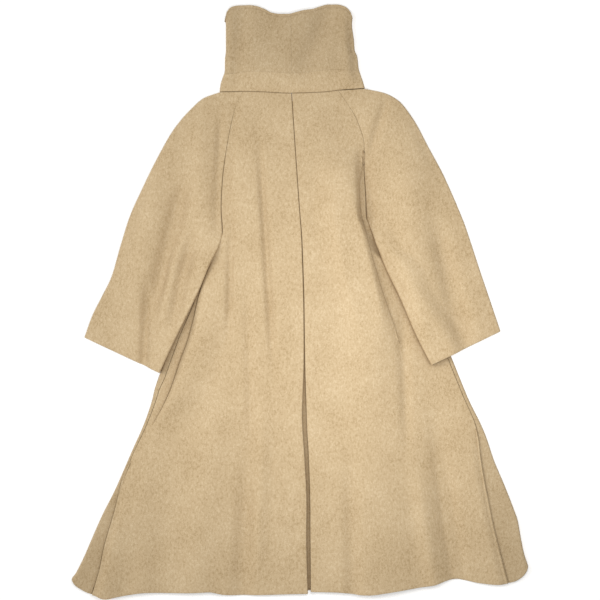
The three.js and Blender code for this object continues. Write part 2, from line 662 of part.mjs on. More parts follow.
// One ring of the collar from its front end on side sign, round that edge and over to distance over.
// height(x, under) gives how far up the coat the ring runs there.
function collarHalf(sign, height, over, columns) {
  const reachAt = sign > 0 ? rightReach : leftReach;
  const reach = reachAt(height(sign * reachAt(0), 0));
  const end = COLLAR_FRONT_GAP / 2;
  const at = (x, z, under) => new THREE.Vector3(sign * x, height(sign * x, under), z);
  const beyondLap = steps(count.beyondLap).slice(1).map((t) => mix(LAP_DOWN, reach - TURN, t));
  const bottom = [end, ...[...rampColumns].reverse(), ...beyondLap].map((x) => at(x, 0, 1));
  const turn = steps(count.turn).slice(1).map((t) => {
    const angle = Math.PI * t;
    const x = reach - TURN + TURN * Math.sin(angle);
    return at(x, TURN - TURN * Math.cos(angle), (1 + Math.cos(angle)) / 2);
  });
  const top = steps(columns).slice(1).map((t) => {
    const x = mix(reach - TURN, over, t);
    return at(x, collarLevel(sign * x, height(sign * x, 0), reach), 0);
  });
  return [...bottom, ...turn, ...top];
}

// The stand, a band all the way round, and the collar above it in two halves
function collarStand(name) {
  const grid = steps(count.standRows).map((t) => {
    const height = (x, under) =>
      mix(standY(x) - SEAM_GAP / 2, neckY(x) + SEAM_GAP / 2 - frontNeckDip(Math.abs(x)) * under, t);
    const [left, right] = [-1, 1].map((sign) => collarHalf(sign, height, 0, count.standTop));
    return [...left, ...right.slice(0, -1).reverse()];
  });
  return clothPiece(name, grid, 1);
}
function collarPiece(name, sign) {
  const grid = steps(count.collarRows).map((t) => {
    const height = (x) => mix(topY(x), standY(x) + SEAM_GAP / 2, t);
    return collarHalf(sign, height, SEAM_GAP / 2, count.collarTop);
  });
  return clothPiece(name, grid, -sign);
}

const right = bodySide(1, {
  outline: rightOutline,
  fold: rightFold,
  lip: rightLip,
  hem: rightHem,
  sleeve: rightSleeve,
});
const left = bodySide(-1, {
  outline: leftOutline,
  fold: leftFold,
  lip: leftLip,
  hem: leftHem,
  sleeve: leftSleeve,
});

const coat = new THREE.Group();
coat.position.y = MIDDLE_BELOW_NECK;
const flat = () => 0;
const onOtherFront = (x) => (CLOTH + SEAM_GAP) * (1 - smooth(LAP_CLEAR, LAP_DOWN, x));
coat.add(backPiece("back_right", right), backPiece("back_left", left));
coat.add(frontPiece("front_right", right, flat), frontPiece("front_left", left, onOtherFront));
coat.add(pleatUnderlay("pleat_underlay", right, left));
coat.add(sleevePiece("sleeve_right", right), sleevePiece("sleeve_left", left));
coat.add(collarStand("collar_stand"), collarPiece("collar_right", 1), collarPiece("collar_left", -1));

export default coat;
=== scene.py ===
# Dresses the swing coat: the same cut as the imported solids, worked out again on a fine grid, in napped camel wool.
import math

import bpy
import numpy as np
from mathutils import Euler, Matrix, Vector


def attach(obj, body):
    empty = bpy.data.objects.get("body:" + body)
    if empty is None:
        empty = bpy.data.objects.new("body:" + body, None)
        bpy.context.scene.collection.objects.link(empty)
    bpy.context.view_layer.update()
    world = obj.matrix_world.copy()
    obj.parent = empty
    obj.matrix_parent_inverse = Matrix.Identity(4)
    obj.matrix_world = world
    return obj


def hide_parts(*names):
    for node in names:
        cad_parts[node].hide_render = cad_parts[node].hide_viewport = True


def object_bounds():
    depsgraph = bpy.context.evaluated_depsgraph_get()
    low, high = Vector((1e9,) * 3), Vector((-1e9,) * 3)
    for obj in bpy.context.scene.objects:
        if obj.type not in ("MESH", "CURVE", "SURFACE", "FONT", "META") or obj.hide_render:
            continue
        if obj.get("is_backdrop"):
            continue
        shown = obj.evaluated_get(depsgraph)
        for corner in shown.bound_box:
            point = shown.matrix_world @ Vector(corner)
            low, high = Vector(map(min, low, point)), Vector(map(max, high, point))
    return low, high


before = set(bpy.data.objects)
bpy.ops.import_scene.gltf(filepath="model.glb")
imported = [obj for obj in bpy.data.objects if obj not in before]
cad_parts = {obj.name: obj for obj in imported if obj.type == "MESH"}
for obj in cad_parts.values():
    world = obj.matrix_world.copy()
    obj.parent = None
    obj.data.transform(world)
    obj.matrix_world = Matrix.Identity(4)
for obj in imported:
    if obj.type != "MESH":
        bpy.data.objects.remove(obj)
solidBox = [list(corner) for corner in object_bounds()]
print("frame loaded:", len(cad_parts), "solids")

# camera, light and floor
view = {
    "place": (0.0077, -0.0718, 1.7000),  # metres, above the coat and a little towards its hem
    "turn": (2.1802, -0.0178, -0.9121),  # degrees
    "lens": 50.295,
    "lampPlace": (0.114, -0.101, 0.855),  # a soft lamp over the coat, so the light falls off towards its ends
    "lampSize": 0.4,
    "lampPower": 5.2,
    "keyPlace": (-6.6, 2.4, 4.2),  # and a larger one from the left, that models the folds
    "keySize": 2.7,
    "keyPower": 260.0,
    "worldStrength": 0.36,
    "worldColour": (1.0, 0.97, 0.92, 1.0),
    "floorColour": (0.92, 0.92, 0.92, 1.0),
    "floorGlow": 0.42,  # the floor is lit from beneath, as a light table is
    "floorHalf": 4.0,
    "floorDrop": 0.0004,  # just under the cloth, so nothing flickers
}


def addCamera():
    camera = bpy.data.objects.new("camera", bpy.data.cameras.new("camera"))
    camera.location = view["place"]
    camera.rotation_euler = Euler([math.radians(a) for a in view["turn"]])
    camera.data.lens = view["lens"]
    bpy.context.collection.objects.link(camera)
    bpy.context.scene.camera = camera


def addLight(name, place, size, power):
    light = bpy.data.objects.new(name, bpy.data.lights.new(name, "AREA"))
    light.location = place
    light.data.size = size
    light.data.energy = power
    light.rotation_euler = (-light.location).to_track_quat("-Z", "Y").to_euler()
    light.visible_camera = False  # the lamp hangs between the camera and the coat
    bpy.context.collection.objects.link(light)


def addStage():
    half = view["floorHalf"]
    corners = [(-half, -half, 0), (half, -half, 0), (half, half, 0), (-half, half, 0)]
    floorMesh = bpy.data.meshes.new("floor")
    floorMesh.from_pydata(corners, [], [(0, 1, 2, 3)])
    floor = bpy.data.objects.new("floor", floorMesh)
    floor.location.z = -view["floorDrop"]
    bpy.context.collection.objects.link(floor)
    finish = bpy.data.materials.new("floor")
    finish.use_nodes = True
    surface = finish.node_tree.nodes["Principled BSDF"]
    surface.inputs["Base Color"].default_value = view["floorColour"]
    surface.inputs["Roughness"].default_value = 0.9
    surface.inputs["Emission Color"].default_value = view["floorColour"]
    surface.inputs["Emission Strength"].default_value = view["floorGlow"]
    floorMesh.materials.append(finish)
    floor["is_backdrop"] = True
    world = bpy.data.worlds.new("studio")
    world.use_nodes = True
    background = world.node_tree.nodes["Background"]
    background.inputs["Color"].default_value = view["worldColour"]
    background.inputs["Strength"].default_value = view["worldStrength"]
    bpy.context.scene.world = world


addCamera()
addLight("lamp", view["lampPlace"], view["lampSize"], view["lampPower"])
addLight("key", view["keyPlace"], view["keySize"], view["keyPower"])
addStage()
bpy.context.scene.view_settings.view_transform = "Standard"
print("camera, light and floor set")

# the cut, in millimetres: across from the centre line, and up the coat from the neck seam at the centre back
cut = {
    "cloth": 2.1,  # thickness of one layer
    "seamGap": 0.03,
    "closedGaps": 1.5,  # how many of these part the two edges at the underarm
    "backLength": 1000.0,
    "middleBelowNeck": 414.0,  # from the neck seam down to the middle of the whole length
    "edgeHeight": 8.0,  # front and back together at a folded side edge
    "crown": 5.0,  # how much higher the back lies over the pleat and the lap
    "crownFrom": 0.3,  # shares of the way from the pleat to the side edge between which that runs out
    "crownTo": 0.92,
    "stillFrom": 0.86,  # and between which the soft folds do
    "stillTo": 0.98,
    "unevenFrom": 0.06,  # share of that way over which the cloth's unevenness begins
    "lap": 40.0,  # how far each front crosses the centre line
    "lapGap": 0.7,  # between the two layers there
    "lapClear": 2.0,  # past that the front on top starts to come down off the other one
    "lapDown": 34.0,  # and has reached the surface
    "frontNeckDip": 15.0,
    "frontShorter": 5.0,
    "hemZone": 150.0,  # height over which rows bend to the hem's wave, and depth to the neck's curve
    "neckZone": 90.0,
    "neckBlend": 60.0,  # depth over which body and sleeves rise to the collar's level
    "seamRoll": 36.0,  # degrees that a raglan edge rolls down into its seam
    "pressedRoll": 6.0,  # and near the neck, where it is pressed flat
    "pressedTo": -90.0,  # heights between which the one goes over into the other
    "rolledFrom": -160.0,
    "rollLength": 45.0,
    "sleeveLift": 8.8,  # how high a sleeve rides where it lies on the body, below the underarm
    "liftLength": 66.0,
    "liftRamp": 45.0,  # width over which it comes back down, starting past the body's edge
    "pastEdge": 3.0,
    "collarCrown": 3.0,
    "collarTilt": 7.5,  # how much higher the collar lies at the stand than at its top edge
    "tiltFrom": -40.0,  # heights at which that begins, is greatest and has run out
    "tiltMost": 45.0,
    "tiltTo": 175.0,
    "collarFrontGap": 8.0,
    "foldFlank": 70.0,  # width over which a deep fold's high side comes back down
    "pleatFall": 0.6,  # how far both sides sink to the pleat, and over what width
    "pleatFallWidth": 16.0,
    "pleatFallFrom": -60.0,  # heights between which that begins
    "pleatFallTo": -240.0,
    "seamFall": 3.0,  # and to the raglan seams
    "seamFallWidth": 24.0,
    "seamFallFrom": -70.0,
    "seamFallTo": -170.0,
    "seamFallEnd": 20.0,  # and how far below the underarm it is gone
    "foldFade": 0.35,  # share of a soft fold's length over which each of its ends fades
    "lowest": -3.2,  # how far a fold may sink below the edges' height, and stand above it
    "highest": 20.0,
    "ease": 1.2,  # how softly it nears those limits
    "seamDip": 1.6,  # how deep a seam across the collar sinks in, and how far to each side
    "dipWidth": 6.0,
    "dipFrom": 125.0,  # distances from the centre between which the neck seam's dip runs out
    "dipTo": 142.0,
    "neckReach": 150.0,  # from the centre to the ends of the neck seam
}
turn = cut["edgeHeight"] / 2  # radius of a folded side edge
underarmTuck = {  # how the side edge slides under the sleeve
    "depth": 3.2,
    "length": 14.0,  # below the underarm
    "deeper": 1.4,  # and further down by this many times more
    "deeperFrom": 20.0,
    "deeperTo": 60.0,
    "endFrom": 30.0,  # below the last row that body and sleeve share, where it runs out
    "endTo": 90.0,
}
lipWave = {  # the back's edge over the front's strip, from the seam inwards
    "edgeShare": 0.55,
    "riseWidth": 18.0,
    "fallFrom": 16.0,
    "fallTo": 75.0,
}

pleatLine = {
    "y": [0, -120, -240, -300, -351, -421, -492, -560, -610, -657, -742, -821, -910, -960, -1000],
    "x": [-1, 5, 11.5, 15, 16, 17, 16.7, 16, 15, 14.4, 17.8, 19.7, 18.4, 18.4, 18.6],
    "gap": [0.3, 0.3, 0.3, 0.8, 1.2, 1.2, 1.2, 2.6, 6, 8.6, 7.8, 6.6, 7.4, 6.6, 5.4],
}
rightOutline = {
    "y": [-345, -407, -444, -480, -535, -580, -629, -678, -702, -750, -798, -847, -871, -918, -960, -1000],
    "edge": [194, 232, 256, 280, 310, 327.5, 346.6, 369.5, 379, 394, 413, 431, 438.5, 444.5, 450, 457],
    "inset": [8, 8, 8, 8, 8, 8, 8, 11, 17, 27, 39, 48.5, 52, 48.5, 45, 43],
}
rightFold = {
    "y": [0, -30, -62, -108, -130, -158, -180, -197, -230, -255, -281, -326, -368, -410, -447, -479, -538,
        -600, -663, -732, -825, -895, -1000],
    "x": [60, 84, 112, 137, 141, 138, 134, 132, 133, 136, 142, 152, 163, 175, 187, 198, 211, 224, 238, 262,
        288, 314, 332],
    "rise": [0, 0, 0, 0, 2.5, 6.5, 8, 9, 9, 9.5, 9.5, 9.5, 9.5, 9, 7.5, 5, 1.5, 0.5, 0, 0, 0, 0, 0],
    "run": [8, 5, 3, 2.2, 2.2, 2.2, 2.2, 2.2, 2.2, 2.2, 2.2, 2.2, 2.2, 2.2, 2.6, 6, 16, 24, 28, 28, 28, 26, 22],
}
leftOutline = {
    "y": [-374, -414, -490, -530, -571, -595, -619, -667, -715, -762, -796, -850, -904, -952, -1000],
    "edge": [190, 208, 246, 263, 277.7, 286, 292, 309, 331, 352, 367.5, 395.5, 419.5, 438, 455.5],
    "inset": [4, 7, 11, 13, 13, 10, 8, 6, 5, 4, 10.5, 24.5, 31.5, 39, 42.5],
}
leftFold = {
    "y": [0, -42, -87, -133, -214, -281, -326, -345, -371, -411, -455, -501, -540, -575, -606, -634, -661,
        -701, -740, -780, -828, -880, -930, -1000],
    "x": [64, 84, 98, 108, 120, 128, 156, 168, 181, 194, 204, 217, 232, 244, 256, 270, 285, 298, 306, 316, 328,
        338, 346, 354],
    "rise": [0, 0, 0, 0, 0, 0, 0, 1, 3, 6, 8.5, 9.5, 9.5, 9, 8, 5.5, 3, 1, 0, 0, 0, 0, 0, 0],
    "run": [8, 8, 8, 8, 6, 4, 3, 2.4, 2.2, 2.2, 2.2, 2.2, 2.2, 2.2, 2.4, 4, 9, 14, 18, 20, 22, 22, 22, 22],
}
leftLip = {
    "y": [-700, -780, -880, -1000],
    "rise": [0, 5, 8.5, 10],
}
rightLip = {
    "y": [-620, -700, -780, -1000],
    "rise": [0, 3, 5, 6],
}
rightHem = {
    "x": [0, 25, 73, 121, 137, 169, 217, 265, 297, 313, 329, 361, 393, 425, 441, 450, 457],
    "y": [-999.5, -1002, -1002.5, -1007.5, -1007.5, -1004.5, -999, -992, -984.5, -983, -985.5, -991.5, -994,
        -990.5, -983, -974.5, -962.5],
}
leftHem = {
    "x": [0, 71, 119, 151, 183, 263, 311, 359, 386, 407, 423, 438, 448, 455],
    "y": [-1005.5, -1006.5, -1007.5, -1005, -998.5, -999.5, -998.5, -1005.5, -1009, -1003, -998.5, -990.5,
        -983.5, -973.5],
}
neckSeam = {
    "x": [-149, -106, -65, -2, 57, 108, 151],
    "y": [6.3, 5.7, 4, 0, 1.1, 6.3, 9.2],
}
standSeam = {
    "x": [-139, -85, -45, -2, 37, 78, 139],
    "y": [42, 45.3, 42.7, 40, 42.4, 45.8, 43.9],
}
collarTop = {
    "x": [-135.5, -131, -120, -104, -87, -70, -54, -38, -21, -5, 11, 28, 44, 61, 77, 94, 110, 120, 127.5],
    "y": [148.5, 170.5, 181, 183.5, 183.5, 180.8, 174.5, 166, 163.5, 163.3, 167, 171, 173, 178.8, 182.7, 182.5,
        178, 169.5, 152.5],
}
collarSides = {
    "y": [0, 22, 36, 50, 75, 88, 110, 136, 154, 190],
    "left": [149, 146, 141.5, 137, 136.4, 134.2, 134, 133.6, 135.5, 135.5],
    "right": [151, 145.5, 141, 137, 134.5, 129.5, 128.3, 124.8, 126.5, 128],
}
rightSleeve = {
    "inX": [93, 113, 131, 145, 144, 146, 147, 158, 168, 182, 209, 240, 270],
    "inY": [0, -29, -58, -108, -158, -209, -255, -292, -321, -359.5, -418.5, -494, -556],
    "outX": [148.5, 188, 216, 247, 276.5, 303, 322, 335.5, 346, 357, 375, 395, 413],
    "outY": [8, -1, -16.6, -57, -115, -167, -211, -245, -273, -308, -368, -432, -490],
    "puff": [1, 2, 3, 4, 5, 5, 5, 5, 5, 4.5, 4, 3.5, 3],
    "underarm": 6,  # the row that lies at the underarm
}
leftSleeve = {
    "inX": [100, 116, 127, 137, 145, 148, 146, 171.5, 194, 218, 247, 274],
    "inY": [0, -31, -68, -120, -178, -233, -281, -346, -400, -449, -506, -563],
    "outX": [148, 180, 209, 241, 278, 308, 334, 354, 372, 391, 411, 427],
    "outY": [5.6, -5.5, -30, -67, -130, -190, -247, -309, -369, -407, -446, -489],
    "puff": [1, 2, 3, 4, 4.5, 5, 5, 5, 4.5, 4, 3.5, 3],
    "underarm": 6,  # the row that lies at the underarm
}
bodyFolds = {
    "x0": [-70, -125, -97, -149, -95, -66, -295, 112, 130, 213, 267, 102, 229, -106],
    "y0": [-55, -197, -359, -479, -661, -581, -697, -78, -424, -405, -606, -664, -686, 28],
    "x1": [-44, -137, -92, -241, -130, -92, -340, 153, 160, 220, 348, 107, 293, -98],
    "y1": [-611, -520, -760, -1210, -1250, -1017, -1208, -704, -1371, -765, -1258, -1254, -1218, -339],
    "rise": [-6.9, -5.1, -3.7, 8, -7.8, 5.5, 6.9, 11.5, 11.5, -4.1, -8.3, -5.5, 6.4, 4.6],
    "half": [8, 7, 10, 42, 20, 16, 30, 50, 82, 12, 18, 15, 18, 34],
}
sleeveFolds = {
    "x0": [-257, -213, -235, -198, -298, -183, -145, 199, 223, 275],
    "y0": [-72, -144, -256, -240, -356, 9, -12, 3, -18, -223],
    "x1": [-350, -297, -282, -254, -311, -193, -152, 143, 256, 356],
    "y1": [-506, -477, -538, -518, -617, -338, -298, -160, -566, -588],
    "rise": [10.3, -13.8, 6.9, -8.3, -7.8, 5.8, -6, -4.6, 9.2, -6.9],
    "half": [28, 17, 14, 12, 8, 22, 9, 9, 44, 20],
}
collarFolds = {
    "x0": [97, -91, 126],
    "y0": [211, 234, 210],
    "x1": [8, -123, 108],
    "y1": [6, -54, -57],
    "rise": [-8.3, -3.7, 3.7],
    "half": [26, 16, 18],
}


def smooth(start, end, x):  # 0 at start to 1 at end, eased at both
    t = np.clip((x - start) / (end - start), 0, 1)
    return t * t * (3 - 2 * t)


def mix(a, b, t):
    return a + (b - a) * t


def curveOf(table, key, value):  # a column of a table as a smooth function of another, with no overshoot
    keys, values = np.array(table[key], float), np.array(table[value], float)
    order = np.argsort(keys)
    xs, ys = keys[order], values[order]
    slopes = np.diff(ys) / np.diff(xs)
    before, after = np.r_[slopes[0], slopes], np.r_[slopes, slopes[-1]]
    level = before * after <= 0
    tangents = np.where(level, 0, 2 * before * after / np.where(level, 1, before + after))

    def at(x):
        x = np.clip(np.asarray(x, float), xs[0], xs[-1])
        i = np.clip(np.searchsorted(xs, x, side="right") - 1, 0, len(xs) - 2)
        width = xs[i + 1] - xs[i]
        t, rise = (x - xs[i]) / width, ys[i + 1] - ys[i]
        bend = (1 - t) * tangents[i] * width - t * tangents[i + 1] * width - (1 - 2 * t) * rise
        return ys[i] + t * rise + t * (1 - t) * bend

    return at


def softFolds(table, x, y):  # height that ridges and troughs along straight lines add
    height = np.zeros(np.broadcast(x, y).shape)
    for x0, y0, x1, y1, rise, half in zip(*(table[k] for k in ("x0", "y0", "x1", "y1", "rise", "half"))):
        dx, dy = x1 - x0, y1 - y0
        along = ((x - x0) * dx + (y - y0) * dy) / (dx * dx + dy * dy)
        away = np.hypot(x - x0 - along * dx, y - y0 - along * dy)
        faded = smooth(0, cut["foldFade"], along) * smooth(1, 1 - cut["foldFade"], along)
        height = height + rise * faded * np.exp(-((away / half) ** 2))
    return height


def undulation(x, y, cell, seed):  # smooth uneven relief from -1 to 1, with hollows about a cell across
    table = np.random.RandomState(seed).uniform(-1, 1, (64, 64))
    u, v = np.asarray(x) / cell + 500, np.asarray(y) / cell + 500
    i, j = np.floor(u).astype(int), np.floor(v).astype(int)
    s, t = smooth(0, 1, u - i), smooth(0, 1, v - j)
    corner = lambda a, b: table[(i + a) % 64, (j + b) % 64]
    return mix(mix(corner(0, 0), corner(1, 0), s), mix(corner(0, 1), corner(1, 1), s), t)


def steps(count):
    return np.arange(count + 1) / count


def spline(points, count):  # a smooth path through points, as count + 1 of them
    points = np.array(points, float)
    padded = np.vstack([2 * points[0] - points[1], points, 2 * points[-1] - points[-2]])
    s = steps(count) * (len(points) - 1)
    i = np.minimum(s.astype(int), len(points) - 2)
    t = (s - i)[:, None]
    a, b, c, d = (padded[i + k] for k in range(4))
    return 0.5 * (2 * b + (c - a) * t + (2 * a - 5 * b + 4 * c - d) * t**2 + (3 * b - a - 3 * c + d) * t**3)


def clothPiece(name, grid, hand, freeEdges=""):
    # a closed wall of cloth from a grid of points on its outer face, rounded at its free edges:
    # top and hem are the first and last row, start and end the first and last column
    wall = cut["cloth"]
    grid = np.array(grid, float)
    rows, columns = grid.shape[:2]
    down, across = np.gradient(grid, axis=0), np.gradient(grid, axis=1)
    normal = np.cross(down, across) * hand
    normal /= np.linalg.norm(normal, axis=2, keepdims=True)
    inner = grid - normal * wall
    index = np.arange(rows * columns).reshape(rows, columns)
    rim = np.r_[index[0, :-1], index[:-1, -1], index[-1, :0:-1], index[:0:-1, 0]]
    outward = np.zeros_like(grid)
    for edge, at, toward in (
        ("top", np.s_[0, :], -down),
        ("hem", np.s_[-1, :], down),
        ("start", np.s_[:, 0], -across),
        ("end", np.s_[:, -1], across),
    ):
        if edge in freeEdges:
            outward[at] += toward[at] / np.linalg.norm(toward[at], axis=1, keepdims=True)
    outward = outward.reshape(-1, 3)[rim]
    flatOuter, flatInner = grid.reshape(-1, 3), inner.reshape(-1, 3)
    middle, reach = (flatOuter + flatInner)[rim] / 2, (flatOuter - flatInner)[rim] / 2
    count = rows * columns
    points, rings = [flatOuter, flatInner], [rim]
    for k, angle in enumerate((45, 90, 135)):
        c, s = math.cos(math.radians(angle)), math.sin(math.radians(angle))
        points.append(middle + reach * c + outward * s * wall / 2)
        rings.append(2 * count + k * len(rim) + np.arange(len(rim)))
    rings.append(rim + count)
    face = np.stack([index[:-1, :-1], index[1:, :-1], index[1:, 1:], index[:-1, 1:]], axis=-1).reshape(-1, 4)
    faces = [face, face[:, ::-1] + count]
    for a, b in zip(rings, rings[1:]):
        faces.append(np.stack([a, np.roll(a, -1), np.roll(b, -1), b], axis=-1))
    faces = np.concatenate(faces)
    if hand < 0:
        faces = faces[:, ::-1]
    points = np.concatenate(points)
    points[:, 1] += cut["middleBelowNeck"]
    mesh = bpy.data.meshes.new(name)
    mesh.from_pydata((points / 1000).tolist(), [], faces.tolist())
    mesh.update()
    mesh.shade_smooth()
    piece = bpy.data.objects.new(name, mesh)
    bpy.context.collection.objects.link(piece)
    return piece


# the lines along which the pieces meet, and where one front starts to lie on the other
standY, topY = curveOf(standSeam, "x", "y"), curveOf(collarTop, "x", "y")
pleatX, pleatGap = curveOf(pleatLine, "y", "x"), curveOf(pleatLine, "y", "gap")
neckY = curveOf(neckSeam, "x", "y")
lapClear, lapDown = cut["lap"] + cut["lapClear"], cut["lap"] + cut["lapDown"]


def frontNeckDip(out):  # how far the front neckline lies below the back's, at a distance from the centre
    return cut["frontNeckDip"] * (1 - smooth(lapClear, lapDown, out))


def collarRise(x, y, reach):  # how much higher than its folded ends the collar lies
    tilt = cut["collarTilt"] * smooth(cut["tiltFrom"], cut["tiltMost"], y)
    tilt = tilt * (1 - smooth(cut["tiltMost"], cut["tiltTo"], y))
    return (cut["collarCrown"] + tilt) * (1 - np.minimum(np.abs(x) / (reach - turn), 1) ** 3)


def neckLevel(x):  # height of the cloth all along the neck seam
    dip = cut["seamDip"] * (1 - smooth(cut["dipFrom"], cut["dipTo"], np.abs(x)))
    return cut["edgeHeight"] + collarRise(x, 0, cut["neckReach"]) - dip


class BodySide:  # sign is 1 on the wearer's right and -1 on the left
    def __init__(self, sign, sleeve, outline, fold, lip, hem, shoulder):
        self.sign, self.sleeve = sign, sleeve
        self.shoulder, self.edgeShare, self.foldHeight = shoulder
        self.underarm = sleeve["inY"][sleeve["underarm"]]
        shared = sum(y >= self.underarm - cut["liftLength"] for y in sleeve["inY"])
        self.sharedEnd = sleeve["inY"][shared - 1]
        edges = {
            "y": sleeve["inY"][:shared] + outline["y"],
            "edge": sleeve["inX"][:shared] + outline["edge"],
            "inset": [0] * shared + outline["inset"],
        }
        self.edge, self.inset = curveOf(edges, "y", "edge"), curveOf(edges, "y", "inset")
        self.fold, self.run = curveOf(fold, "y", "x"), curveOf(fold, "y", "run")
        tableRise = curveOf(fold, "y", "rise")
        self.rise = lambda y: self.foldHeight * tableRise(y)
        self.lip, self.hemY = curveOf(lip, "y", "rise"), curveOf(hem, "x", "y")
        self.closed = 90 - math.degrees(cut["closedGaps"] * cut["seamGap"] / turn)

    def centre(self, y):
        return self.sign * pleatX(y)

    def roll(self, y):  # how far round the folded edge the back's seam lies, in degrees, above the underarm
        rolled = mix(self.closed, cut["seamRoll"], smooth(self.underarm, self.underarm + cut["rollLength"], y))
        return mix(rolled, cut["pressedRoll"], smooth(cut["rolledFrom"], cut["pressedTo"], y))

    def outline(self, y):
        rolledBack = turn * (1 - np.sin(np.radians(self.roll(y))))
        tuck, top = underarmTuck, self.underarm
        tucked = smooth(top, top - tuck["length"], y)
        tucked = tucked + tuck["deeper"] * smooth(top - tuck["deeperFrom"], top - tuck["deeperTo"], y)
        tucked = tucked * smooth(self.sharedEnd - tuck["endTo"], self.sharedEnd - tuck["endFrom"], y)
        return self.edge(y) - cut["seamGap"] + np.where(y > top, rolledBack, tuck["depth"] * tucked)

    def top(self, x, y, level=None):  # height of the upper face; level picks the high or low side of the deep fold
        share = (x - self.centre(y)) / (self.outline(y) - turn - self.centre(y))
        beyond = x - self.fold(y)
        crown = cut["crown"] * (1 - smooth(cut["crownFrom"], cut["crownTo"], share))
        stand = np.where(beyond < 0, self.flank(-beyond), self.edgeShare * (1 - smooth(0, self.run(y), beyond)))
        stand = stand if level is None else level
        seam = self.outline(y) - self.inset(y)
        lipped = self.lip(y) * self.lipShape(seam - x) * (x < seam)
        still = 1 - smooth(cut["stillFrom"], cut["stillTo"], share)
        soft = still * softFolds(bodyFolds, self.sign * x, y)
        uneven = still * smooth(0, cut["unevenFrom"], share) * relief(self.sign * x, y)
        toPleat = cut["pleatFall"] * (1 - smooth(0, cut["pleatFallWidth"], x - self.centre(y)))
        toPleat = toPleat * smooth(cut["pleatFallFrom"], cut["pleatFallTo"], y)
        fromTurn = self.outline(y) - turn - x
        toSeam = cut["seamFall"] * (1 - smooth(0, cut["seamFallWidth"], fromTurn)) * self.seamDepth(y)
        raised = eased(crown + self.rise(y) * stand + lipped + soft + uneven - toPleat - toSeam)
        return mix(cut["edgeHeight"] + raised, neckLevel(x), smooth(-cut["neckBlend"], 0, y))

    def lipShape(self, inward):
        rising = mix(lipWave["edgeShare"], 1, smooth(0, lipWave["riseWidth"], inward))
        return rising * (1 - smooth(lipWave["fallFrom"], lipWave["fallTo"], inward))

    def seamDepth(self, y):  # the raglan seam is pressed flat at the neck and sinks in towards the underarm
        below = smooth(self.underarm - cut["seamFallEnd"], self.underarm, y)
        return smooth(cut["seamFallFrom"], cut["seamFallTo"], y) * below

    def flank(self, inward):  # the high side of the deep fold, rounded down to its edge
        rounded = 1 - (1 - np.clip(inward / self.shoulder, 0, 1)) ** 2
        falling = 1 - smooth(self.shoulder, self.shoulder + cut["foldFlank"], inward)
        return mix(self.edgeShare, 1, rounded) * falling

    def place(self, x, y, z, under):  # a point as the hem and the neck bend it; under is 1 on the front
        out = np.abs(x)
        toHem = smooth(-cut["backLength"] + cut["hemZone"], -cut["backLength"], y)
        toNeck = smooth(-cut["neckZone"], 0, y)
        hemShift = self.hemY(out) + cut["backLength"] + cut["frontShorter"] * under
        neckShift = neckY(self.sign * x) - 2 * cut["seamGap"] - frontNeckDip(out) * under
        return np.stack(np.broadcast_arrays(self.sign * x, y + toHem * hemShift + toNeck * neckShift, z), axis=-1)

    def footToTurn(self, y):  # from the deep fold's foot to where the side edge turns under
        return self.outline(y) - turn - self.fold(y) - self.run(y)

    def walk(self, length, y):  # the upper face and the folded edge, by length from the foot of the deep fold
        foot = self.fold(y) + self.run(y)
        flat = self.outline(y) - turn - foot
        angle = np.clip((length - flat) / turn, 0, math.pi)
        onFlat = length <= flat
        x = np.where(onFlat, foot + length, self.outline(y) - turn + turn * np.sin(angle))
        edgeTop = self.top(self.outline(y) - turn, y, 0)
        z = np.where(onFlat, self.top(foot + length, y, 0), edgeTop * (1 + np.cos(angle)) / 2)
        return self.place(x, y, z, np.where(onFlat, 0, (1 - np.cos(angle)) / 2))

    def seamLength(self, y):  # from that foot to the back's edge: the raglan seam, or lower down the side seam
        within = np.minimum(self.inset(y) / turn, 1)
        below = turn * np.arcsin(1 - within) - np.maximum(self.inset(y) - turn, 0)
        return self.footToTurn(y) + np.where(y >= self.underarm, turn * np.radians(self.roll(y)), below)


def eased(height):  # keeps a fold's height above or below the edge's within its limits, with no corner
    low, high, ease = cut["lowest"], cut["highest"], cut["ease"]
    kept = low + ease * np.logaddexp(0, (height - low) / ease)
    return high - ease * np.logaddexp(0, (high - kept) / ease)


unevenness = {  # of the laid cloth: its hollows' width, how much longer they are, their height, and a seed
    "slow": (46.0, 1.6, 0.45, 3),
    "quick": (17.0, 1.4, 0.16, 8),
}


def relief(x, y):
    waves = []
    for width, longer, height, seed in unevenness.values():
        waves.append(height * undulation(x, y / longer, width, seed))
    return waves[0] + waves[1]


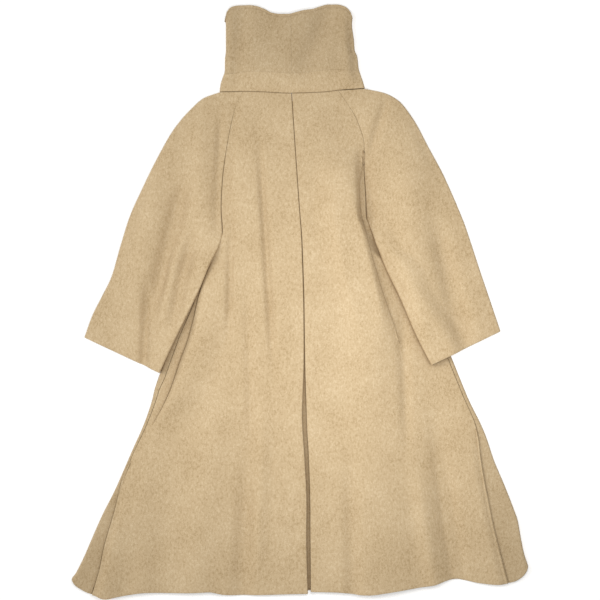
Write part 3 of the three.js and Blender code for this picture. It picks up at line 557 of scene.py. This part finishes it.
seamShape = {  # how deep the cloth rolls into each seam, in mm
    "width": 2.8,
    "closeness": 0.96,  # at 1 the cloth would stand upright in the seam
    "neck": 1.6,
    "pressed": 0.2,
    "raglan": 1.5,
    "side": 0.12,
    "collar": 0.12,
    "closeRows": [0, 0.4, 0.9, 1.5, 2.3],  # distances from a seam, so its roll is smooth
}
backShape = {
    "rowSpacing": 4.0,
    "pleatNose": 2.2,  # radius of the pleat's folded edge
    "pleatReturn": 7.0,  # how far that edge turns back underneath
    "returnColumns": 3,
    "noseColumns": 10,
    "flatColumns": 96,
    "crowding": 1.35,  # above 1 the columns stand closer towards the deep fold
    "foldColumns": 30,
    "turnFrom": 3.5,  # heights of the deep fold between which its edge comes to turn under itself
    "turnTo": 7.0,
    "footGap": 1.2,  # from the fold's foot to the first column past it
    "outColumns": 30,
    "tailLength": 8.0,  # the stretch next to the seam, and its share of a narrow strip
    "tailShare": 0.6,
    "tailColumns": 12,
    "standFrom": 2.0,  # rises of the back's lower edge between which it comes to stand over the front
    "standTo": 3.2,
    # the deep fold, where it turns under: out from its line in mm, and height as a share of its edge's
    "deepFold": [(0, 1), (0.9, 0.8), (1.1, 0.52), (0.4, 0.24), (-1.6, 0.12), (-4.5, 0.1), (-7.0, 0.09),
                 (-7.9, 0.04), (-7.0, 0), (-4, 0), (0, 0), (3.2, 0)],
    # the back's edge where it stands over the front's strip: out from the seam, and share of the lip's rise
    "lipFold": [(-8, 1), (-4, 1), (-1.4, 0.97), (0.2, 0.86), (0.7, 0.66), (0.2, 0.45), (-1.4, 0.3), (-4, 0.26)],
}


def seamRoll(distance, depth):  # how far an edge sinks at this distance from its seam
    t = np.clip(1 - distance / seamShape["width"], 0, 1)
    return depth * (1 - np.sqrt(1 - seamShape["closeness"] * t * t))


def raglanDepth(y):
    rolled = smooth(cut["pressedTo"], cut["rolledFrom"], y)
    return mix(seamShape["pressed"], seamShape["raglan"], rolled)


def bodyRows():
    count = round(cut["backLength"] / backShape["rowSpacing"])
    return -np.r_[seamShape["closeRows"], cut["backLength"] * steps(count)[1:]][:, None]


def sunkAtNeck(grid, y):
    grid[..., 2] -= seamRoll(-y, seamShape["neck"]) * smooth(0, cut["edgeHeight"], grid[..., 2])
    return grid


def backPiece(name, side):
    shape, y = backShape, bodyRows()
    start, fold, run, rise = side.centre(y) + pleatGap(y) / 2, side.fold(y), side.run(y), side.rise(y)
    # the pleat's folded edge, from its return underneath over the nose
    nose = shape["pleatNose"]
    under = start + nose + shape["pleatReturn"] * (1 - steps(shape["returnColumns"])[None, :-1])
    turned = np.radians(-90 + 180 * steps(shape["noseColumns"])[None, :])
    noseTop = side.top(start + nose, y)
    underside = side.place(under, y, noseTop - 2 * nose, 0)
    edge = side.place(start + nose - nose * np.cos(turned), y, noseTop - nose + nose * np.sin(turned), 0)
    # the upper face out over the deep fold's high side, which turns under itself where it stands high
    profile = spline(shape["deepFold"], shape["foldColumns"])
    crowded = 1 - (1 - steps(shape["flatColumns"])[None, 1:-1]) ** shape["crowding"]
    inner = mix(start + nose, fold, crowded)
    flat = side.place(inner, y, side.top(inner, y), 0)
    turnedUnder = smooth(shape["turnFrom"], shape["turnTo"], rise)
    plainX = mix(0, run + 1, steps(shape["foldColumns"])[None, :])
    foldX = mix(plainX, profile[:, 0], turnedUnder)
    stand = side.edgeShare * mix(1 - smooth(0, run, plainX), profile[:, 1], turnedUnder)
    over = side.place(fold + foldX, y, side.top(fold + foldX, y, 0) + rise * stand, 0)
    # from its foot out to the seam, where the cloth rolls down, or lower down stands over the front's strip
    seam = side.seamLength(y)
    tail = np.minimum(shape["tailLength"], shape["tailShare"] * seam)
    last = steps(shape["tailColumns"])[None, 1:]
    plain = mix(shape["footGap"], seam - tail, steps(shape["outColumns"])[None, 1:])
    length = np.concatenate([plain, seam - tail * (1 - last)], axis=1)
    outer = side.walk(length, y)
    outer[..., 2] -= seamRoll(seam - length, raglanDepth(y))
    lip = spline(shape["lipFold"], shape["tailColumns"])[1:]
    standing = smooth(shape["standFrom"], shape["standTo"], side.lip(y))
    lipX = fold + run + seam + lip[:, 0]
    curled = side.place(lipX, y, cut["edgeHeight"] + lipWave["edgeShare"] * side.lip(y) * lip[:, 1], 0)
    outer[:, -len(lip):] = mix(outer[:, -len(lip):], curled, standing[..., None])
    grid = np.concatenate([underside, edge, flat, over, outer], axis=1)
    return clothPiece(name, sunkAtNeck(grid, y), side.sign, ("hem",))


frontShape = {
    "tuck": 5.0,  # how far the strip reaches under the back's standing edge
    "tuckFrom": 2.2,  # rises of that edge between which it comes to do so
    "tuckTo": 3.5,
    "stripColumns": 24,
    "stripCrowding": 1.2,
    "turnColumns": 14,
    "turnShare": 0.75,  # at most this share of the upper strip belongs to the turn
    "underColumns": 18,
    "rampColumns": 8,
    "lapColumns": 10,
}


def frontPiece(name, side, lies):  # lies gives the height of what its underside rests on
    shape, y = frontShape, bodyRows()
    turnEnd = side.footToTurn(y) + turn * math.pi
    above = turnEnd - turn * np.radians(side.roll(y))
    tucked = shape["tuck"] * smooth(shape["tuckFrom"], shape["tuckTo"], side.lip(y))
    seam = np.where(y >= side.underarm, above, side.seamLength(y) + 2 * cut["seamGap"])
    start = seam - tucked
    length = turnEnd - start
    turned = np.minimum(turn * math.pi, shape["turnShare"] * length)
    strip = start + steps(shape["stripColumns"])[None, :] ** shape["stripCrowding"] * (length - turned)
    turning = turnEnd - turned + steps(shape["turnColumns"])[None, 1:] * turned
    walked = np.concatenate([strip, turning], axis=1)
    upper = side.walk(walked, y)
    flatStrip = (walked < side.footToTurn(y)) & (y < side.underarm)
    sinks = seamRoll(np.maximum(walked - seam, 0), seamShape["side"]) * (1 - smooth(0, 1, tucked))
    lipBelow = side.lip(y) * side.lipShape(np.maximum(seam - walked, 0)) * (walked < seam)
    upper[..., 2] -= sinks + np.where(flatStrip, lipBelow, 0)
    outer = side.outline(y) - turn
    across = mix(outer, lapDown, steps(shape["underColumns"])[None, 1:-1])
    ramp = mix(lapDown, lapClear, steps(shape["rampColumns"])[None, :])
    lapped = mix(lapClear, -cut["lap"], steps(shape["lapColumns"])[None, 1:])
    x = np.concatenate([across, ramp + 0 * y, lapped + 0 * y], axis=1)
    grid = np.concatenate([upper, side.place(x, y, lies(x), 1)], axis=1)
    return clothPiece(name, sunkAtNeck(grid, y), side.sign, ("hem", "end"))


underlayShape = {
    "top": -190.0,
    "topHalf": 14.0,  # half its width there and at the hem
    "hemHalf": 80.0,
    "level": 7.3,  # over both layers of the fronts' lap
    "rows": 120,
    "columns": 32,
    "waves": (30.0, 0.15, 5),  # width, height and seed of its unevenness
}


def pleatUnderlay(name, right, left):
    shape = underlayShape
    hem = -cut["backLength"] + cut["frontShorter"]
    y = mix(shape["top"], hem, steps(shape["rows"])[:, None])
    down = (shape["top"] - y) / (shape["top"] - hem)
    half = mix(shape["topHalf"], shape["hemHalf"], down)
    x = pleatX(y) + half * mix(-1, 1, steps(shape["columns"])[None, :])
    width, height, seed = shape["waves"]
    level = shape["level"] + height * undulation(x, y, width, seed)
    grid = np.where((x > 0)[..., None], right.place(x, y, level, 0), left.place(-x, y, level, 0))
    return clothPiece(name, grid, 1, ("top", "hem", "start", "end"))


sleeveShape = {
    "ringSpacing": 4.0,
    "fullness": 0.8,  # below 1 a sleeve is fuller towards its edges
    "stillWidth": 26.0,  # along its edges, over which the soft folds run out
    "underarmSeam": 2.0,  # degrees from the seam's middle to each side of the ring
    "rollColumns": 8,
    "upperColumns": 56,
    "turnColumns": 14,
    "lowerColumns": 34,
    "closingColumns": 6,
}


def sleevePiece(name, side):  # a tube, ring by ring from the neck to the cuff
    shape = sleeveShape
    table = dict(side.sleeve, at=list(range(len(side.sleeve["inX"]))))
    inX, inY, outX, outY, puff = (curveOf(table, "at", k) for k in ("inX", "inY", "outX", "outY", "puff"))
    along = np.r_[0, np.cumsum(np.hypot(np.diff(table["inX"]), np.diff(table["inY"])))]
    count = round(along[-1] / shape["ringSpacing"])
    distances = np.r_[seamShape["closeRows"], along[-1] * steps(count)[1:]]
    rings = []
    for fromNeck, at in zip(distances, np.interp(distances, along, table["at"])):
        y = float(inY(at))
        above = y >= side.underarm
        roll = float(side.roll(y))
        rollBack = turn * (1 - math.sin(math.radians(roll)))
        inner = side.edge(y) if y > side.sharedEnd else inX(at)
        seamPoint = side.place(inner, y, 0, 0)[:2] if above else np.array([side.sign * inner, y])
        start = seamPoint * (side.sign, 1)
        end = np.array([outX(at), outY(at)])
        direction = (end - start) / np.linalg.norm(end - start)
        start = start + direction * (cut["seamGap"] - rollBack)
        width = np.linalg.norm(end - start)
        lift = cut["sleeveLift"] * smooth(side.underarm, side.underarm - cut["liftLength"], y)

        def where(q):
            return start[0] + direction[0] * q, start[1] + direction[1] * q

        def below(q):
            x, height = where(q)
            past = x - side.outline(np.minimum(height, side.underarm))
            return lift * (1 - smooth(cut["pastEdge"], cut["pastEdge"] + cut["liftRamp"], past))

        def over(q):
            x, far = where(q)
            middle = np.sin(np.pi * np.clip(q / width, 0, 1)) ** shape["fullness"]
            still = smooth(0, shape["stillWidth"], q) * smooth(0, shape["stillWidth"], width - q)
            soft = softFolds(sleeveFolds, side.sign * x, far) + relief(side.sign * x, far)
            toSeam = cut["seamFall"] * (1 - smooth(0, cut["seamFallWidth"], q - turn)) * side.seamDepth(y)
            height = below(q) + cut["edgeHeight"] + eased(puff(at) * middle + still * soft - toSeam)
            return mix(height, neckLevel(x), smooth(-cut["neckBlend"], 0, y - neckY(side.sign * x)))

        def point(q, z):
            x, height = where(q)
            return np.stack(np.broadcast_arrays(side.sign * x, height, z), axis=-1)

        def turned(centre, way, degrees):
            angle = np.radians(degrees)
            low, high = below(centre), over(centre)
            radius = (high - low) / 2
            return point(centre + way * turn * np.cos(angle), low + radius + radius * np.sin(angle))

        seam = 90 - roll if above else shape["underarmSeam"]
        rolling = mix(seam, 90, steps(shape["rollColumns"]))
        upperInner = turned(turn, -1, rolling)
        if above:
            upperInner[:, 2] -= seamRoll(turn * np.radians(rolling - seam), raglanDepth(y))
        q = mix(turn, width - turn, steps(shape["upperColumns"])[1:])
        upper = point(q, over(q))
        outer = turned(width - turn, 1, mix(90, -90, steps(shape["turnColumns"])[1:]))
        q = mix(width - turn, turn, steps(shape["lowerColumns"])[1:])
        lower = point(q, below(q))
        lowerInner = turned(turn, -1, mix(-90, -seam, steps(shape["closingColumns"])[1:]))
        ring = np.concatenate([upperInner, upper, outer, lower, lowerInner])
        ring[:, 2] -= seamRoll(fromNeck, seamShape["neck"]) * smooth(0, cut["edgeHeight"], ring[:, 2])
        rings.append(ring)
    return clothPiece(name, rings, side.sign, ("hem",))


collarShape = {
    "height": 130.0,  # of the two halves, and of the stand below them, about
    "standHeight": 42.0,
    "rowCount": 34,
    "standRows": 11,
    "columns": 52,
    "standColumns": 40,
    "crowding": 1.4,  # above 1 the columns stand closer towards the centre seam
    "turnColumns": 14,
    "rampColumns": 6,  # on the side that lies underneath
    "underColumns": 14,
    "frontStep": 20.0,  # from the centre to the second column there
    "underShare": 0.5,  # of what the upper side sinks at a seam
    "rimRows": [0, 0.7, 1.4, 2.2, 3.0, 3.8, 4.6, 5.4, 6.4, 8.0],
    "rimSeam": 4.6,  # from the top edge down to the line along which the inner layer rolls out
    "rimDepth": 0.9,
    "rimWidth": 1.1,
    "standSeamShare": 0.5,  # how deep that seam sinks in, against the neck seam
    "stillHeight": 30.0,  # above the neck seam, over which the soft folds begin
}
leftReach, rightReach = curveOf(collarSides, "y", "left"), curveOf(collarSides, "y", "right")


def collarLevel(x, y, reach):  # height of the upper face
    share = np.minimum(np.abs(x) / (reach - turn), 1)
    still = 1 - smooth(cut["stillFrom"], cut["stillTo"], share)
    sink = lambda seamY: cut["seamDip"] * np.exp(-(((y - seamY) / cut["dipWidth"]) ** 2))
    soft = still * (softFolds(collarFolds, x, y) + relief(x, y))
    soft = soft * smooth(0, collarShape["stillHeight"], y - neckY(x))
    dips = still * (sink(neckY(x)) + collarShape["standSeamShare"] * sink(standY(x)))
    return cut["edgeHeight"] + collarRise(x, y - neckY(x), reach) + soft - dips


def collarHalf(sign, height, over, columns, sunk):
    # one row from the front end on one side, round that edge and over to a distance from the centre line;
    # height gives how far up the coat it runs, and sunk how far it lies below the cloth's own level
    reachAt = rightReach if sign > 0 else leftReach
    reach = reachAt(height(sign * reachAt(0), 0))

    def at(x, z, under):
        return np.stack(np.broadcast_arrays(sign * x, height(sign * x, under), z), axis=-1)

    shape, sunkUnder = collarShape, sunk * collarShape["underShare"]
    ramp = mix(lapClear, lapDown, steps(shape["rampColumns"]))
    beyond = mix(lapDown, reach - turn, steps(shape["underColumns"])[1:])
    bottom = at(np.r_[cut["collarFrontGap"] / 2, shape["frontStep"], ramp, beyond], sunkUnder, 1)
    angle = math.pi * steps(shape["turnColumns"])[1:]
    radius = turn - sunkUnder
    x = reach - turn + radius * np.sin(angle)
    turnedEdge = at(x, turn - radius * np.cos(angle), (1 + np.cos(angle)) / 2)
    x = mix(over, reach - turn, (1 - steps(columns)[1:]) ** shape["crowding"])
    top = at(x, collarLevel(sign * x, height(sign * x, 0), reach) - sunk, 0)
    return np.concatenate([bottom, turnedEdge, top])


def collarStand(name):  # a band, row by row down to the neck seam
    rows, total = [], collarShape["standHeight"]
    close = np.array(seamShape["closeRows"]) / total
    for t in np.r_[close, steps(collarShape["standRows"])[1:-1], 1 - close[::-1]]:
        def height(x, under):
            lower = neckY(x) + cut["seamGap"] / 2 - frontNeckDip(np.abs(x)) * under
            return mix(standY(x) - cut["seamGap"] / 2, lower, t)

        sunk = float(seamRoll(t * total, seamShape["collar"]) + seamRoll((1 - t) * total, seamShape["neck"]))
        halves = [collarHalf(sign, height, 0, collarShape["standColumns"], sunk) for sign in (-1, 1)]
        rows.append(np.concatenate([halves[0], halves[1][:-1][::-1]]))
    return clothPiece(name, rows, 1)


def collarPiece(name, sign):  # one half, row by row from the top edge down to the stand
    shape, rows, total = collarShape, [], collarShape["height"]
    close = np.array(shape["rimRows"]) / total
    last = 1 - np.array(seamShape["closeRows"][::-1]) / total
    for t in np.r_[close, mix(close[-1], last[0], steps(shape["rowCount"])[1:-1]), last]:
        def height(x, under):
            return mix(topY(x), standY(x) + cut["seamGap"] / 2, t)

        fromRim = (t * total - shape["rimSeam"]) / shape["rimWidth"]
        groove = shape["rimDepth"] * math.exp(-(fromRim**2))
        sunk = float(seamRoll((1 - t) * total, seamShape["collar"])) + groove
        row = collarHalf(sign, height, cut["seamGap"] / 2, shape["columns"], sunk)
        fromCentre = np.abs(row[:, 0]) - cut["seamGap"] / 2
        upperSide = row[:, 2] > turn
        row[:, 2] -= np.where(upperSide, seamRoll(fromCentre, seamShape["collar"]), 0)
        rows.append(row)
    return clothPiece(name, rows, -sign, ("top",))


# a deep fold's rounded shoulder in mm, the share of its height that its edge keeps, and its height's factor
rightShoulder, leftShoulder = (32.0, 0.3, 1.6), (12.0, 0.5, 1.6)
right = BodySide(1, rightSleeve, rightOutline, rightFold, rightLip, rightHem, rightShoulder)
left = BodySide(-1, leftSleeve, leftOutline, leftFold, leftLip, leftHem, leftShoulder)


def onOtherFront(x):  # how high the left front lies where the right one is under it
    return (cut["cloth"] + cut["lapGap"]) * (1 - smooth(lapClear, lapDown, x))


made = {
    "back_right": backPiece("cloth_back_right", right),
    "back_left": backPiece("cloth_back_left", left),
    "front_right": frontPiece("cloth_front_right", right, lambda x: 0 * x),
    "front_left": frontPiece("cloth_front_left", left, onOtherFront),
    "pleat_underlay": pleatUnderlay("cloth_pleat_underlay", right, left),
    "sleeve_right": sleevePiece("cloth_sleeve_right", right),
    "sleeve_left": sleevePiece("cloth_sleeve_left", left),
    "collar_stand": collarStand("cloth_collar_stand"),
    "collar_right": collarPiece("cloth_collar_right", 1),
    "collar_left": collarPiece("cloth_collar_left", -1),
}
print("cloth cut and laid out:", sum(len(p.data.polygons) * 2 for p in made.values()), "triangles")


class Value:  # a socket that takes part in sums
    def __init__(self, nodes, socket):
        self.nodes, self.socket = nodes, socket

    def math(self, operation, first, second):
        return self.nodes.add("ShaderNodeMath", {"operation": operation}, {0: first, 1: second})

    def __add__(self, other):
        return self.math("ADD", self, other)

    def __sub__(self, other):
        return self.math("SUBTRACT", self, other)

    def __rsub__(self, other):
        return self.math("SUBTRACT", other, self)

    def __mul__(self, other):
        return self.math("MULTIPLY", self, other)

    __radd__, __rmul__ = __add__, __mul__

    def between(self, low, high, kind="SMOOTHSTEP"):  # 0 at low, 1 at high
        return self.nodes.add(
            "ShaderNodeMapRange",
            {"interpolation_type": kind},
            {"Value": self, "From Min": low, "From Max": high},
        )


class Nodes:  # adds nodes to one material
    def __init__(self, tree):
        self.tree = tree

    def add(self, kind, settings=None, values=None, out=0):
        node = self.tree.nodes.new(kind)
        for key, setting in (settings or {}).items():
            setattr(node, key, setting)
        for key, value in (values or {}).items():
            if isinstance(value, Value):
                self.tree.links.new(value.socket, node.inputs[key])
            else:
                node.inputs[key].default_value = value
        return Value(self, node.outputs[out])

    def noise(self, place, scale, detail, roughness):
        values = {"Vector": place, "Scale": scale, "Detail": detail, "Roughness": roughness}
        return self.add("ShaderNodeTexNoise", {}, values)

    def blend(self, share, first, second):  # of two colours
        return self.add("ShaderNodeMix", {"data_type": "RGBA"}, {0: share, 6: first, 7: second}, 2)

    def link(self, value, socket):
        self.tree.links.new(value.socket, socket)


woolFinish = {  # napped camel wool, with shade painted into its seams and under its folds
    "base": (0.610, 0.462, 0.278, 1.0),
    "light": (0.716, 0.566, 0.364, 1.0),
    "dark": (0.472, 0.340, 0.186, 1.0),
    "paintedShade": (0.200, 0.115, 0.050, 1.0),  # painted shade: the colour that seams and the cloth under folds are darkened towards
    "paintedShadeReach": 0.050,  # metres, how far the painted shade's occlusion test looks
    "paintedShadeRange": (0.1, 1.0),  # how open a place is, from fully hollow to not at all; the painted shade is strongest where it is least open
    "brushed": (1.0, 0.6, 1.0),  # the nap is brushed down the coat
    "patches": (14.0, 3.0, 0.55),  # scale across a metre, detail and roughness
    "flecks": (260.0, 3.0, 0.65),
    "fibres": (700.0, 2.0, 0.6),
    "shares": (0.2, 0.45, 0.35),  # of patches, flecks and fibres in the tone
    "darkRange": (0.37, 0.5),  # tones from fully dark to the base colour, and on to fully light
    "lightRange": (0.5, 0.63),
    "roughness": 0.86,
    "roughnessSwing": 0.12,
    "specular": 0.15,
    "sheen": 0.12,
    "sheenTint": (0.95, 0.85, 0.68, 1.0),
    "sheenRoughness": 0.5,
    "napHeight": 0.0008,
    "napStrength": 0.8,
    "napShares": (0.6, 0.4),  # of flecks and fibres in the nap's height
    "frontsShare": 0.92,  # set to match the photo, where fronts and collar are darker; the cause isn't known
    "collarShare": 0.93,
}


def woolMaterial(name, share):  # share is how light this piece is against the back
    finish = woolFinish
    material = bpy.data.materials.new(name)
    material.use_nodes = True
    nodes = Nodes(material.node_tree)
    surface = material.node_tree.nodes["Principled BSDF"].inputs
    tint = lambda key: [channel * share for channel in finish[key][:3]] + [1]
    place = nodes.add("ShaderNodeTexCoord", out=3)
    brushed = nodes.add("ShaderNodeMapping", {}, {"Vector": place, "Scale": finish["brushed"]})
    flecks = nodes.noise(brushed, *finish["flecks"])
    fibres = nodes.noise(brushed, *finish["fibres"])
    patches = nodes.noise(place, *finish["patches"])
    ofPatches, ofFlecks, ofFibres = finish["shares"]
    tone = patches * ofPatches + flecks * ofFlecks + fibres * ofFibres
    shade = nodes.blend(tone.between(*finish["darkRange"]), tint("dark"), tint("base"))
    napped = nodes.blend(tone.between(*finish["lightRange"]), shade, tint("light"))
    # painted shade: ambient occlusion darkens the base colour in seams, creases and under folds
    around = nodes.add("ShaderNodeAmbientOcclusion", {"samples": 8}, {"Distance": finish["paintedShadeReach"]}, 1)
    paintedShade = 1 - around.between(*finish["paintedShadeRange"], "LINEAR")
    nodes.link(nodes.blend(paintedShade, napped, tint("paintedShade")), surface["Base Color"])
    nodes.link(fibres * finish["roughnessSwing"] + finish["roughness"], surface["Roughness"])
    surface["Sheen Weight"].default_value = finish["sheen"]
    surface["Sheen Roughness"].default_value = finish["sheenRoughness"]
    surface["Sheen Tint"].default_value = finish["sheenTint"]
    surface["Specular IOR Level"].default_value = finish["specular"]
    height = flecks * finish["napShares"][0] + fibres * finish["napShares"][1]
    nap = {"Height": height, "Distance": finish["napHeight"], "Strength": finish["napStrength"]}
    nodes.link(nodes.add("ShaderNodeBump", {}, nap), surface["Normal"])
    return material


wool = woolMaterial("camel_wool", 1)
frontsWool = woolMaterial("camel_wool_fronts", woolFinish["frontsShare"])
collarWool = woolMaterial("camel_wool_collar", woolFinish["collarShare"])
for node, piece in made.items():
    collared = node in ("collar_left", "collar_right")
    piece.data.materials.append(frontsWool if "front" in node else collarWool if collared else wool)
for node, piece in made.items():
    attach(piece, "root")
    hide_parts(node)

dressedBox = [list(corner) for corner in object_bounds()]
print("dressed box", dressedBox)
